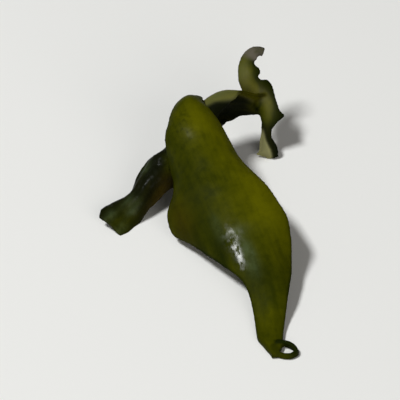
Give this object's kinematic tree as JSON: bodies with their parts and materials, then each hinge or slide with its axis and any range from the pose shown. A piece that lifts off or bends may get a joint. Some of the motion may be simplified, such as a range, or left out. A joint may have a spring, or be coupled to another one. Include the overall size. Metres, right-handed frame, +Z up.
{
  "type": "wakame piece",
  "caption": "Piece of soaked wakame seaweed: a broad olive lobe with a curled tail, carried on its own rolled-up base, which ends in a frill.",
  "frame": {"origin": "on the surface that the piece rests on, under the middle of its box", "axes": "+Z up; the lobe's tail points to -Y and the frill to +Y; the roll's free end is at -X"},
  "size_m": [0.0178, 0.0362, 0.0077],
  "materials": {
    "wakame": "wet, glossy olive green to black green"
  },
  "bodies": {
    "root": {"wakame": "wakame"}
  },
  "joints": []
}
